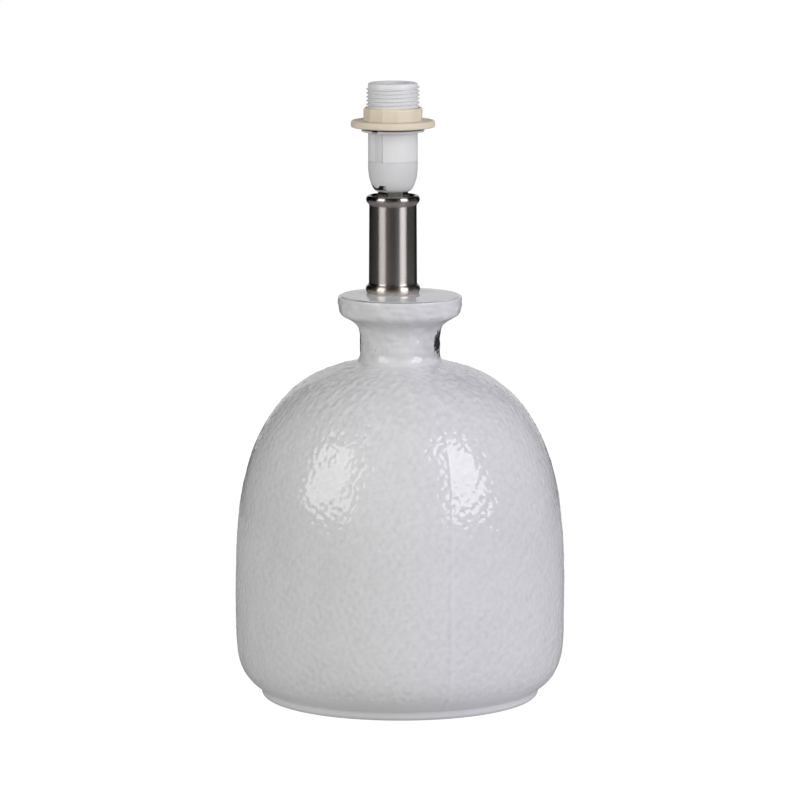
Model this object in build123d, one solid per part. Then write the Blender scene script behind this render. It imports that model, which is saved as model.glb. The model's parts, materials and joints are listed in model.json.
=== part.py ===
from build123d import *
import math
import os

# Table lamp base: glazed ceramic vessel, brushed metal stem sleeve and a small
# screw-thread lampholder with its shade ring.  Millimetres, +Z up, origin at
# the centre of the foot's resting plane, -Y is the front of the lamp.

# ---------------------------------------------------------------- dimensions
# vessel, thrown profile (radius, height)
foot_r = 73.5            # outer radius of the foot band
foot_h = 5.0             # height of the foot band
foot_inner_r = 66.0      # foot ring inner radius
recess_h = 3.2           # depth of the recess inside the foot ring
floor_t = 5.6            # thickness of the vessel's floor
wall_t = 5.2             # wall thickness of the vessel
access_r = 30.0          # assembly hole in the floor
belly_r = 87.45          # widest radius
belly_z = 50.0
neck_inner_r = 16.8      # inside of the neck
collar_hole_r = 8.8      # oversize hole in the collar top
collar_top_z = 215.0     # seat of the stem sleeve
collar_plate_t = 6.0

# stem: everything on it stands a little off the vessel's axis
stem_x = -3.7
nipple_r = 4.95          # M10 x 1 hollow nipple
nipple_bore_r = 3.9
nipple_z0 = 194.0
nipple_z1 = 276.0

sleeve_z0 = collar_top_z
sleeve_z1 = 266.5        # crown of the rolled top rim
sleeve_r_top = 12.50
sleeve_r_bot = 12.70
sleeve_bore_r = 11.3

nut_af = 14.0            # across flats of the hex nuts
nut_facet_deg = 280.8    # direction that a facet of the upper nut faces

# lampholder
dome_z0 = 268.5          # flat underside of the dome
split_z = 284.5          # seam between dome and threaded skirt
holder_r = 13.05
latch_deg = (234.5, 54.5)    # the two latch tongues, opposite each other
latch_half = 9.5
shoulder_z0 = 300.0
shoulder_z1 = 302.6
shoulder_r = 16.5
thread_core_r = 13.1     # 28 x 2 shade-ring thread
thread_major_r = 14.0
thread_pitch = 2.0
thread_z0 = 304.0
thread_z1 = 324.3
rim_z = 325.65
mouth_r = 8.5            # mouth of the lampholder
mouth_len = 3.65
shell_minor_r = 6.3      # small screw shell for the lamp cap
shell_major_r = 7.0
shell_outer_r = 7.5
shell_pitch = 2.822

# shade ring
flange_z0 = 302.6
flange_z1 = 306.1
flange_r = 22.1
ring_gap = 0.05
grip_z1 = 312.7
grip_r = 15.75           # across corners, twelve sides
grip_corner_deg = 280.0

# cord bushing in the back wall
bush_z = 17.0            # height of the hole's centre on the wall
bush_r = 4.2             # barrel
bush_bore_r = 3.1        # for a round 6 mm cord
bush_flange_r = 5.4
bush_head_t = 0.8        # how far the head stands off the wall
bush_depth = 11.5        # barrel length inside the wall's face
bush_lip = 0.4           # countersunk lip of the bore

os.makedirs("parts", exist_ok=True)
nodes = {}


def P3(p):
    return (p[0], 0.0, p[1])


def line(a, b):
    return Line(P3(a), P3(b))


def lathe(edges, x=0.0):
    solid = revolve(Face(Wire(edges)), Axis.Z, 360)
    return Pos(x, 0, 0) * solid


def lathe_poly(pts, x=0.0, radii=None):
    if radii is None:
        path = Polyline(*[P3(p) for p in pts], close=True)
    else:
        path = FilletPolyline(*[P3(p) for p in pts], radius=radii, close=True)
    solid = revolve(Face(Wire(path.edges())), Axis.Z, 360)
    return Pos(x, 0, 0) * solid


def tube(r0, r1, z0, z1, x=0.0):
    out = Pos(x, 0, (z0 + z1) / 2) * Cylinder(r1, z1 - z0)
    if r0 > 0:
        out = out - Pos(x, 0, (z0 + z1) / 2) * Cylinder(r0, z1 - z0 + 2)
    return out


def sector(r0, r1, z0, z1, mid_deg, half_deg, x=0.0):
    """Piece of a ring between two angles, as a closed solid."""
    a0 = math.radians(mid_deg - half_deg)
    a1 = math.radians(mid_deg + half_deg)
    am = math.radians(mid_deg)

    def at(r, a):
        return (r * math.cos(a), r * math.sin(a), z0)

    w = Wire([
        ThreePointArc(at(r0, a0), at(r0, am), at(r0, a1)),
        Line(at(r0, a1), at(r1, a1)),
        ThreePointArc(at(r1, a1), at(r1, am), at(r1, a0)),
        Line(at(r1, a0), at(r0, a0)),
    ])
    return Pos(x, 0, 0) * extrude(Face(w), amount=z1 - z0, dir=(0, 0, 1))


def helix_ridge(r_base, r_tip, half_base, half_tip, z0, z1, pitch, phase_deg):
    """Single-start right-hand ridge, centre line from z0 to z1."""
    path = Helix(pitch=pitch, height=z1 - z0, radius=r_base, center=(0, 0, z0))
    prof = Polyline(
        (r_base, 0, z0 - half_base), (r_tip, 0, z0 - half_tip),
        (r_tip, 0, z0 + half_tip), (r_base, 0, z0 + half_base), close=True)
    ridge = sweep(Face(Wire(prof.edges())), path=path, is_frenet=True)
    return Rot(0, 0, phase_deg) * ridge


def single(shape):
    s = shape.solids()
    assert len(s) == 1, len(s)
    return s[0]


# ---------------------------------------------------------------- vessel
low_ctrl = [(74.89, 5.6), (85.86, 13.47), (87.45, 18.92), (belly_r, belly_z)]
high_ctrl = [(belly_r, belly_z), (87.45, 126.43), (80.43, 73.97),
             (93.31, 178.47), (38.51, 172.93), (23.4, 178.75)]


def bezier_at(ctrl, t):
    n = len(ctrl) - 1
    x = z = 0.0
    for i, (px, pz) in enumerate(ctrl):
        b = math.comb(n, i) * (1 - t) ** (n - i) * t ** i
        x += b * px
        z += b * pz
    return x, z


def bezier_normal(ctrl, t):
    e = 1e-4
    x0, z0 = bezier_at(ctrl, max(0.0, t - e))
    x1, z1 = bezier_at(ctrl, min(1.0, t + e))
    dx, dz = x1 - x0, z1 - z0
    m = math.hypot(dx, dz)
    return -dz / m, dx / m      # points into the wall, towards the axis


flare_pts = [(21.35, 183.5), (21.4, 189.0), (21.9, 195.0), (22.9, 197.6),
             (24.9, 199.6), (27.5, 201.1), (30.2, 202.5), (31.9, 204.3),
             (32.55, 206.6), (32.8, 209.6)]
flare = Spline(*[P3(p) for p in flare_pts], tangents=[(0, 0, 1), (0, 0, 1)])
shoulder_fillet = Spline(P3((23.4, 178.75)), P3((21.9, 180.4)), P3((21.35, 183.5)),
                         tangents=[(-0.94, 0, 0.34), (0, 0, 1)])
rim_edge = Spline(P3((32.8, 209.6)), P3((32.35, 211.7)), P3((31.0, 213.0)),
                  tangents=[(0, 0, 1), (-0.97, 0, 0.24)])
dish_top = Spline(P3((31.0, 213.0)), P3((24.5, 214.4)), P3((17.0, collar_top_z)),
                  tangents=[(-0.97, 0, 0.24), (-1, 0, 0)])

outer_edges = [
    line((foot_inner_r, 0), (foot_r - 1.8, 0)),
    Spline(P3((foot_r - 1.8, 0)), P3((foot_r - 0.5, 0.5)), P3((foot_r, 1.9)),
           tangents=[(1, 0, 0), (0, 0, 1)]),
    line((foot_r, 1.9), (foot_r, 4.6)),
    line((foot_r, 4.6), (73.9, foot_h)),
    line((73.9, foot_h), (74.89, 5.6)),
    Bezier(*[P3(p) for p in low_ctrl]),
    Bezier(*[P3(p) for p in high_ctrl]),
    shoulder_fillet,
    flare,
    rim_edge,
    dish_top,
    line((17.0, collar_top_z), (collar_hole_r, collar_top_z)),
]
inner_samples = []
for t in (0.30, 0.48, 0.68, 0.86):
    p, n = bezier_at(low_ctrl, t), bezier_normal(low_ctrl, t)
    inner_samples.append((p[0] + n[0] * wall_t, p[1] + n[1] * wall_t))
for t in (0.0, 0.12, 0.24, 0.36, 0.48, 0.60, 0.72, 0.82, 0.90):
    p, n = bezier_at(high_ctrl, t), bezier_normal(high_ctrl, t)
    inner_samples.append((p[0] + n[0] * wall_t, p[1] + n[1] * wall_t))
inner_samples.append((neck_inner_r + 3.2, 174.4))
inner_samples.append((neck_inner_r, 180.5))
floor_z = recess_h + floor_t
inner_start = (inner_samples[0][0] - 5.0, floor_z)
inner_curve = Spline(P3(inner_start), *[P3(p) for p in inner_samples],
                     tangents=[(1, 0, 0.25), (0, 0, 1)])
plate_z = collar_top_z - collar_plate_t
inner_edges = [
    line((collar_hole_r, collar_top_z), (collar_hole_r, plate_z)),
    line((collar_hole_r, plate_z), (neck_inner_r, plate_z)),
    line((neck_inner_r, plate_z), inner_samples[-1]),
    inner_curve,
    line(inner_start, (access_r, floor_z)),
    line((access_r, floor_z), (access_r, recess_h)),
    line((access_r, recess_h), (foot_inner_r - 1.0, recess_h)),
    line((foot_inner_r - 1.0, recess_h), (foot_inner_r, 0)),
]
vessel_full = lathe(outer_edges + inner_edges)

# cord hole in the back wall, square to the wall
lo_t, hi_t = 0.0, 1.0
for _ in range(50):
    mid_t = (lo_t + hi_t) / 2
    if bezier_at(low_ctrl, mid_t)[1] < bush_z:
        lo_t = mid_t
    else:
        hi_t = mid_t
bush_y = bezier_at(low_ctrl, lo_t)[0]
wall_n = bezier_normal(low_ctrl, lo_t)
bush_dir = (0, -wall_n[0], -wall_n[1])
bush_plane = Plane(origin=(0, bush_y, bush_z), x_dir=(1, 0, 0), z_dir=bush_dir)
print("cord bushing at y", round(bush_y, 3), "axis", [round(v, 4) for v in bush_dir])
hole = bush_plane * Pos(0, 0, -6) * Cylinder(bush_r, 20)
nodes["vessel"] = single(vessel_full - hole)

# felt disc glued inside the foot ring
nodes["base_felt"] = single(tube(0, 64.4, 0.8, recess_h))

# ---------------------------------------------------------------- cord bushing
head = bush_plane * Pos(0, 0, bush_head_t - 1.3) * Cylinder(bush_flange_r, 2.6)
head = head - vessel_full
head = max(head.solids(), key=lambda q: q.center().Y)
barrel = bush_plane * Pos(0, 0, (bush_head_t - bush_depth) / 2) * Cylinder(bush_r, bush_head_t + bush_depth)
bushing = barrel.solids()[0] + head
bushing = bushing - bush_plane * Pos(0, 0, -6) * Cylinder(bush_bore_r, 30)
# countersunk outer lip of the bore
bushing = bushing - bush_plane * Pos(0, 0, bush_head_t - bush_lip / 2) * Cone(bush_bore_r, bush_bore_r + 0.5, bush_lip)
nodes["cord_bushing"] = single(bushing)

nut_body = bush_plane * Pos(0, 0, -8.6) * extrude(RegularPolygon(6.6, 6), amount=3.4)
nut_body = nut_body - bush_plane * Pos(0, 0, -8) * Cylinder(bush_r, 30)
nut_body = nut_body - vessel_full
nodes["cord_bushing_nut"] = single(nut_body)

# ---------------------------------------------------------------- clamping stack
nodes["threaded_nipple"] = single(lathe_poly([
    (nipple_bore_r, nipple_z0), (nipple_r - 0.5, nipple_z0), (nipple_r, nipple_z0 + 0.5),
    (nipple_r, nipple_z1 - 0.5), (nipple_r - 0.5, nipple_z1), (nipple_bore_r, nipple_z1)], stem_x))


def hex_nut(z0, z1, af, rot_deg, bore, x):
    corner = af / math.sqrt(3)
    body = Pos(0, 0, z0) * Rot(0, 0, rot_deg) * extrude(RegularPolygon(corner, 6), amount=z1 - z0)
    # chamfered corners, as a turned nut has
    h = z1 - z0
    c = (corner - af / 2) * 0.85
    keep = revolve(Face(Wire(Polyline(
        (0, 0, z0), (corner - c, 0, z0), (corner + 0.01, 0, z0 + c * 0.6),
        (corner + 0.01, 0, z1 - c * 0.6), (corner - c, 0, z1), (0, 0, z1), close=True).edges())), Axis.Z, 360)
    body = body & keep
    body = body - Pos(0, 0, z0 + h / 2) * Cylinder(bore, h + 2)
    return Pos(x, 0, 0) * single(body)


def split_washer(z0, z1, r0, r1, x):
    ring = tube(r0, r1, z0, z1)
    cut = Pos((r0 + r1) / 2, 0, (z0 + z1) / 2) * Rot(35, 0, 0) * Box(r1 - r0 + 4, 0.8, (z1 - z0) * 4)
    return Pos(x, 0, 0) * single(ring - cut)


def tooth_washer(z0, z1, r0, r1, teeth, x):
    ring = tube(r0, r1, z0, z1)
    for i in range(teeth):
        ring = ring - Rot(0, 0, i * 360 / teeth) * Pos(r1 - 0.55, 0, (z0 + z1) / 2) * Box(1.5, 0.9, z1 - z0 + 1)
    return Pos(x, 0, 0) * single(ring)


z = plate_z
nodes["neck_gasket"] = single(tube(5.3, 12.6, z - 1.5, z, stem_x))
nodes["neck_washer"] = single(tube(5.2, 12.8, z - 3.0, z - 1.5, stem_x))
nodes["spring_washer"] = split_washer(z - 5.2, z - 3.0, 5.2, 8.6, stem_x)
nodes["lower_lock_nut"] = hex_nut(z - 9.7, z - 5.2, nut_af, 0, nipple_r, stem_x)

# ---------------------------------------------------------------- stem sleeve
rb, rt = sleeve_r_bot, sleeve_r_top
sleeve_outer = [
    line((sleeve_bore_r, sleeve_z0), (13.55, sleeve_z0)),
    Spline(P3((13.55, sleeve_z0)), P3((14.12, 215.9)), P3((14.35, 217.2)), P3((13.95, 218.7)), P3((13.05, 219.75)),
           tangents=[(0.75, 0, 0.66), (-0.72, 0, 0.69)]),
    Spline(P3((13.05, 219.75)), P3((12.78, 220.2)), P3((rb, 220.9)), tangents=[(-0.72, 0, 0.69), (0, 0, 1)]),
    line((rb, 220.9), (rt, 260.9)),
    Spline(P3((rt, 260.9)), P3((12.62, 261.6)), P3((12.95, 262.1)), tangents=[(0, 0, 1), (0.75, 0, 0.66)]),
    Spline(P3((12.95, 262.1)), P3((13.75, 263.1)), P3((14.15, 264.5)), P3((13.8, 265.8)), P3((12.95, sleeve_z1)),
           P3((12.1, 266.15)), P3((sleeve_bore_r, 265.2)),
           tangents=[(0.72, 0, 0.69), (-0.6, 0, -0.8)]),
    line((sleeve_bore_r, 265.2), (sleeve_bore_r, sleeve_z0)),
]
nodes["stem_sleeve"] = single(lathe(sleeve_outer, stem_x))
nodes["sleeve_bottom_cap"] = single(lathe_poly([
    (5.2, 215.0), (10.9, 215.0), (sleeve_bore_r, 215.4), (sleeve_bore_r, 218.2), (10.1, 218.2), (10.1, 216.5), (5.2, 216.5)],
    stem_x))
nodes["sleeve_top_cap"] = single(lathe_poly([
    (5.2, 263.0), (8.9, 263.0), (10.4, 261.4), (10.4, 259.6), (sleeve_bore_r, 259.6), (sleeve_bore_r, 265.0),
    (11.0, 265.0), (9.0, 264.2), (5.2, 264.2)], stem_x))
nodes["tooth_washer"] = tooth_washer(264.2, 264.9, 5.2, 8.2, 10, stem_x)
nodes["upper_hex_nut"] = hex_nut(264.9, dome_z0, nut_af, nut_facet_deg - 30, nipple_r, stem_x)

# ---------------------------------------------------------------- lampholder dome
dome_in = 11.55
dome_edges = [
    line((nipple_r, dome_z0), (7.6, dome_z0)),
    Spline(P3((7.6, dome_z0)), P3((8.75, 268.75)), P3((9.55, 269.3)), P3((10.8, 271.1)), P3((11.7, 273.2)),
           P3((12.38, 275.6)), P3((12.82, 278.4)), P3((holder_r, 281.8)),
           tangents=[(1, 0, 0), (0, 0, 1)]),
    line((holder_r, 281.8), (holder_r, shoulder_z0)),
    line((holder_r, shoulder_z0), (holder_r + 0.75, shoulder_z0 + 0.1)),
    line((holder_r + 0.75, shoulder_z0 + 0.1), (holder_r + 0.75, shoulder_z0 + 0.6)),
    line((holder_r + 0.75, shoulder_z0 + 0.6), (holder_r + 0.1, shoulder_z0 + 1.1)),
    line((holder_r + 0.1, shoulder_z0 + 1.1), (dome_in, shoulder_z0 + 1.1)),
    line((dome_in, shoulder_z0 + 1.1), (dome_in, 281.0)),
    Spline(P3((dome_in, 281.0)), P3((10.9, 276.0)), P3((9.6, 272.9)), P3((7.9, 270.9)),
           tangents=[(0, 0, -1), (-0.9, 0, -0.43)]),
    line((7.9, 270.9), (7.2, 270.9)),
    line((7.2, 270.9), (7.2, 275.4)),
    line((7.2, 275.4), (nipple_r, 275.4)),
    line((nipple_r, 275.4), (nipple_r, dome_z0)),
]
dome = lathe(dome_edges)
# above the seam only the two latch tongues are left, each with a narrower hook
hook_half = 4.6
for a in latch_deg:
    dome = dome - sector(9.0, 17.0, split_z, shoulder_z0 + 3.0, a + 90.0, 90.0 - latch_half)
for a in latch_deg:
    for side_sign in (-1, 1):
        mid = a + side_sign * (hook_half + latch_half + 1.0) / 2
        dome = dome - sector(9.0, 17.0, shoulder_z0 - 0.2, shoulder_z0 + 3.0, mid, (latch_half + 1.0 - hook_half) / 2)
# window at the lower left: a boss hangs into it from above, and the lock
# screw is reached through its right-hand end
window = sector(8.5, 15.0, 269.75, 272.3, 222.5, 27.5)
boss_plane = Plane(origin=(0, 0, 273.75), z_dir=(math.cos(math.radians(218.0)), math.sin(math.radians(218.0)), 0))
window = window - boss_plane * Pos(0, 0, 11) * Cylinder(3.0, 14)
dome = dome - window
lock_deg = 243.5
lock_dir = (math.cos(math.radians(lock_deg)), math.sin(math.radians(lock_deg)), 0)
lock_plane = Plane(origin=(0, 0, 271.05), z_dir=lock_dir)
dome = dome - lock_plane * Pos(0, 0, 7.5) * Cylinder(1.2, 7)
nodes["holder_dome"] = Pos(stem_x, 0, 0) * single(dome)

screw = lock_plane * Pos(0, 0, (nipple_r + 9.2) / 2 + 0.03) * Cylinder(1.15, 9.2 - nipple_r - 0.06)
screw = screw - lock_plane * Pos(0, 0, 9.2) * Box(3, 0.5, 1.0)
nodes["dome_lock_screw"] = Pos(stem_x, 0, 0) * single(screw)

# ---------------------------------------------------------------- threaded skirt
skirt_in = 11.25
skirt = lathe_poly([
    (skirt_in, split_z), (holder_r - 0.35, split_z), (holder_r - 0.35, split_z + 0.2), (holder_r, split_z + 0.3),
    (holder_r, shoulder_z0), (shoulder_r - 0.3, shoulder_z0), (shoulder_r, shoulder_z0 + 0.4),
    (shoulder_r, shoulder_z1 - 0.3), (shoulder_r - 0.3, shoulder_z1), (thread_core_r, shoulder_z1),
    (thread_core_r, rim_z - 0.9), (thread_core_r - 0.45, rim_z - 0.15), (thread_core_r - 0.9, rim_z),
    (mouth_r + 0.4, rim_z), (mouth_r, rim_z - 0.3), (mouth_r, rim_z - mouth_len), (skirt_in, rim_z - mouth_len)])
# crest heights: 1.27 mod 2 mm on the +X side
n0 = math.ceil((thread_z0 - 1.27) / thread_pitch)
helix_start = 1.27 + thread_pitch * n0
turns_h = thread_z1 - 0.6 - helix_start
ridge = helix_ridge(thread_core_r - 0.15, thread_major_r, 0.62, 0.19, helix_start, helix_start + turns_h, thread_pitch, 0.0)
skirt = skirt + ridge
for a in latch_deg:
    skirt = skirt - sector(skirt_in - 1, holder_r + 1.0, split_z - 1, shoulder_z0, a, latch_half + 1.1)
    skirt = skirt - sector(skirt_in - 1, shoulder_r + 1, shoulder_z0 - 0.1, shoulder_z0 + 1.35, a, 5.8)
nodes["holder_skirt"] = Pos(stem_x, 0, 0) * single(skirt)

# ---------------------------------------------------------------- contact carrier and contacts
car_r = 11.1
car_z0, car_z1 = 290.9, rim_z - mouth_len - 0.05
shell_z0, shell_z1 = 303.0, 320.6
carrier = tube(0, car_r, car_z0, car_z1)
carrier = carrier - tube(0, shell_outer_r + 0.02, 302.4, car_z1 + 1)
carrier = carrier - Pos(-1.4, 0, 299.7) * Box(9.2, 4.8, 5.6)            # pocket under the tongue
carrier = carrier - Pos(-6.85, 0, 297.0) * Box(0.55, 3.2, 14.0)         # riser slot, centre contact
carrier = carrier - Pos(-6.3, 0, 301.9) * Box(1.6, 3.2, 1.6)
carrier = carrier - Pos(7.85, 0, 300.5) * Box(0.7, 3.6, 22.0)           # riser slot, side contact
# two vertical passages for the leads
for sy in (-1, 1):
    carrier = carrier - Pos(0, sy * 5.2, 296) * Cylinder(1.3, 14)
nodes["contact_carrier"] = Pos(stem_x, 0, 0) * single(carrier)

shell = tube(shell_minor_r, shell_outer_r, shell_z0, shell_z1)
groove = helix_ridge(shell_minor_r - 0.25, shell_major_r, 1.0, 0.32, shell_z0 - 3, shell_z1 + 3, shell_pitch, 0.0)
shell = shell - groove
shell = shell - tube(0, shell_minor_r, shell_z0 - 1, shell_z1 + 1)
nodes["screw_shell"] = Pos(stem_x, 0, 0) * max(shell.solids(), key=lambda s: s.volume)

# side contact: riser against the shell, foot under the carrier
side = Pos(7.76, 0, 301.0) * Box(0.46, 3.2, 20.2)
side = side + Pos(5.5, 0, 290.65) * Box(4.98, 3.2, 0.5)
side = side - tube(0, shell_outer_r, shell_z0, shell_z1)
nodes["side_contact"] = Pos(stem_x, 0, 0) * single(side)

# fixed strip of the centre contact and its sprung tongue
strip = Pos(-6.85, 0, 295.8) * Box(0.4, 2.8, 10.8)
strip = strip + Pos(-6.05, 0, 301.4) * Box(1.2, 2.8, 0.4) + Pos(-6.75, 0, 301.4) * Box(0.6, 2.8, 0.4)
strip = strip + Pos(-4.85, 0, 290.65) * Box(4.4, 2.8, 0.5)
nodes["centre_contact_strip"] = Pos(stem_x, 0, 0) * single(strip)

hinge_x, hinge_z = -5.2, 301.4
tongue = Pos(hinge_x, 0, hinge_z) * Rot(90, 0, 0) * Cylinder(0.2, 2.6)
tongue = tongue + Pos((hinge_x + 1.6) / 2, 0, hinge_z) * Box(1.6 - hinge_x, 2.6, 0.4)
tongue = tongue + Pos(0, 0, hinge_z + 0.5) * Cylinder(1.1, 0.7)
nodes["centre_contact"] = Pos(stem_x, 0, 0) * single(tongue)

# terminal clamps with their screws, under the carrier
clamp_solids, screw_solids = [], []
for sx in (-1, 1):
    block = Pos(sx * 5.3, 0, 286.7) * Box(4.6, 6.0, 7.4)
    block = block - Pos(sx * 5.3, 0, 287.6) * Rot(90, 0, 0) * Cylinder(1.25, 8)      # wire hole
    block = block - Pos(sx * 5.3, 0, 285.0) * Cylinder(1.2, 5.2)                     # screw hole
    clamp_solids.append(Pos(stem_x, 0, 0) * single(block))
    scr = Pos(sx * 5.3, 0, 284.3) * Cylinder(1.2, 4.0)
    scr = scr + Pos(sx * 5.3, 0, 281.9) * Cylinder(1.9, 1.4)
    scr = scr - Pos(sx * 5.3, 0, 281.3) * Box(4.4, 0.6, 0.9)
    screw_solids.append(Pos(stem_x, 0, 0) * single(scr))
nodes["terminal_clamps"] = clamp_solids
nodes["terminal_screws"] = screw_solids

# ---------------------------------------------------------------- shade ring
flange = lathe_poly([
    (14.08, flange_z0), (flange_r, flange_z0), (flange_r, flange_z1), (14.08, flange_z1)],
    0.0, [0.0, 1.35, 1.35, 0.0])
nodes["shade_ring_flange"] = Pos(stem_x, 0, 0) * single(flange)

g0 = flange_z1 + ring_gap
ring = Pos(0, 0, g0) * Rot(0, 0, grip_corner_deg) * extrude(RegularPolygon(grip_r, 12), amount=grip_z1 - g0)
keep = revolve(Face(Wire(Polyline(
    (0, 0, g0), (grip_r + 0.2, 0, g0), (grip_r + 0.2, 0, grip_z1 - 0.75),
    (grip_r - 0.75, 0, grip_z1), (0, 0, grip_z1), close=True).edges())), Axis.Z, 360)
ring = (ring & keep) - tube(0, 14.15, g0 - 1, grip_z1 + 1)
# internal thread, half a pitch away from the skirt's crests
k = math.ceil((g0 + 0.75 - 2.27) / thread_pitch)
z_start = 2.27 + thread_pitch * k
z_end = grip_z1 - 0.9
inner_ridge = helix_ridge(14.3, 13.3, 0.58, 0.19, z_start, z_end, thread_pitch, 0.0)
ring = ring + inner_ridge
nodes["shade_ring_nut"] = Pos(stem_x, 0, 0) * single(ring)

# ---------------------------------------------------------------- output
for name, shape in nodes.items():
    if isinstance(shape, list):
        out = Compound(children=shape)
    else:
        out = shape
    out.label = name
    export_step(out, os.path.join("parts", name + ".step"))
    print(name)
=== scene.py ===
import json
import math

import bmesh
import bpy
import numpy as np
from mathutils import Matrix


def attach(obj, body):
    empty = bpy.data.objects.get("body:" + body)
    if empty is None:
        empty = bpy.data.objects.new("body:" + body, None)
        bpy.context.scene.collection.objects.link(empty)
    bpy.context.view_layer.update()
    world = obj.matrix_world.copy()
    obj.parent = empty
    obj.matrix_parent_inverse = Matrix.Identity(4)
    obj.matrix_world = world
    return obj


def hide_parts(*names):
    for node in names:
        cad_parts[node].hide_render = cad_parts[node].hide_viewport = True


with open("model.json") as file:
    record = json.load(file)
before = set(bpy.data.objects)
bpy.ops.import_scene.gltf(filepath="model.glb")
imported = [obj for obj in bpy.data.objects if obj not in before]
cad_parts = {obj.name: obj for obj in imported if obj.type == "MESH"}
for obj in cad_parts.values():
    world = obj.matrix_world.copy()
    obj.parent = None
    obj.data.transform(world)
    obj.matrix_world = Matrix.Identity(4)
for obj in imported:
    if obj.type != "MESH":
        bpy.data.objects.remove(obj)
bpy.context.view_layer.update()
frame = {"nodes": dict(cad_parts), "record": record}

MM = 0.001
STEM_X = -3.7            # the stem and lampholder stand off the vessel's axis
scene = bpy.context.scene
scene.view_settings.view_transform = "Standard"
scene.view_settings.look = "None"
scene.view_settings.exposure = 0.0
scene.view_settings.gamma = 1.0

# ------------------------------------------------------------------ camera
cam_data = bpy.data.cameras.new("camera")
cam_data.sensor_width = 36.0
cam_data.lens = 237.6
cam_data.clip_start = 0.1
cam_data.clip_end = 60.0
camera = bpy.data.objects.new("camera", cam_data)
scene.collection.objects.link(camera)
camera.location = (0.0, -2.757, 0.561)
camera.rotation_euler = (math.radians(90.0 - 8.32), 0.0, 0.0)
scene.camera = camera


# ------------------------------------------------------------------ node helpers
class Mat:
    """A node material with small helpers."""

    def __init__(self, name):
        self.m = bpy.data.materials.new(name)
        self.m.use_nodes = True
        self.t = self.m.node_tree
        self.t.nodes.clear()
        self.out = self.t.nodes.new("ShaderNodeOutputMaterial")
        self.b = self.t.nodes.new("ShaderNodeBsdfPrincipled")
        self.link(self.b.outputs[0], self.out.inputs["Surface"])

    def link(self, a, b):
        self.t.links.new(a, b)

    def node(self, kind, **props):
        n = self.t.nodes.new(kind)
        ins = props.pop("ins", {})
        for k, v in props.items():
            setattr(n, k, v)
        for k, v in ins.items():
            if hasattr(v, "is_output") and not isinstance(v, (int, float, tuple, list)):
                self.link(v, n.inputs[k])
            else:
                n.inputs[k].default_value = v
        return n

    def set(self, **vals):
        for k, v in vals.items():
            self.b.inputs[k.replace("_", " ")].default_value = v

    def coords(self):
        return self.node("ShaderNodeTexCoord").outputs["Object"]

    def scaled(self, vec, s):
        return self.node("ShaderNodeMapping", ins={"Vector": vec, "Scale": s}).outputs[0]

    def noise(self, vec, scale, detail=3.0, rough=0.5, dist=0.0):
        return self.node("ShaderNodeTexNoise", ins={
            "Vector": vec, "Scale": scale, "Detail": detail, "Roughness": rough, "Distortion": dist}).outputs["Fac"]

    def ramp(self, fac, stops):
        r = self.node("ShaderNodeValToRGB", ins={"Fac": fac})
        el = r.color_ramp.elements
        while len(el) < len(stops):
            el.new(0.5)
        for e, (p, c) in zip(el, stops):
            e.position = p
            e.color = (*c, 1.0) if len(c) == 3 else c
        return r.outputs["Color"]

    def rng(self, val, a, b, c, d, clamp=True):
        n = self.node("ShaderNodeMapRange", ins={"Value": val, "From Min": a, "From Max": b, "To Min": c, "To Max": d})
        n.clamp = clamp
        return n.outputs["Result"]

    def math(self, op, a, b=0.0):
        n = self.node("ShaderNodeMath", operation=op)
        for i, v in enumerate((a, b)):
            if isinstance(v, (int, float)):
                n.inputs[i].default_value = v
            else:
                self.link(v, n.inputs[i])
        return n.outputs[0]

    def mix(self, fac, a, b):
        n = self.node("ShaderNodeMix", data_type="RGBA")
        for key, v in (("Factor", fac), ("A", a), ("B", b)):
            sock = [s for s in n.inputs if s.name == key and s.enabled][0]
            if isinstance(v, (int, float)):
                sock.default_value = v
            elif isinstance(v, tuple):
                sock.default_value = (*v, 1.0) if len(v) == 3 else v
            else:
                self.link(v, sock)
        return [s for s in n.outputs if s.enabled][0]

    def multiply(self, a, b):
        n = self.node("ShaderNodeMix", data_type="RGBA", blend_type="MULTIPLY")
        [s for s in n.inputs if s.name == "Factor" and s.enabled][0].default_value = 1.0
        for key, v in (("A", a), ("B", b)):
            self.link(v, [s for s in n.inputs if s.name == key and s.enabled][0])
        return [s for s in n.outputs if s.enabled][0]

    def bump(self, height, strength, distance, normal=None):
        n = self.node("ShaderNodeBump", ins={"Height": height, "Strength": strength, "Distance": distance})
        if normal is not None:
            self.link(normal, n.inputs["Normal"])
        return n.outputs[0]


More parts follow.
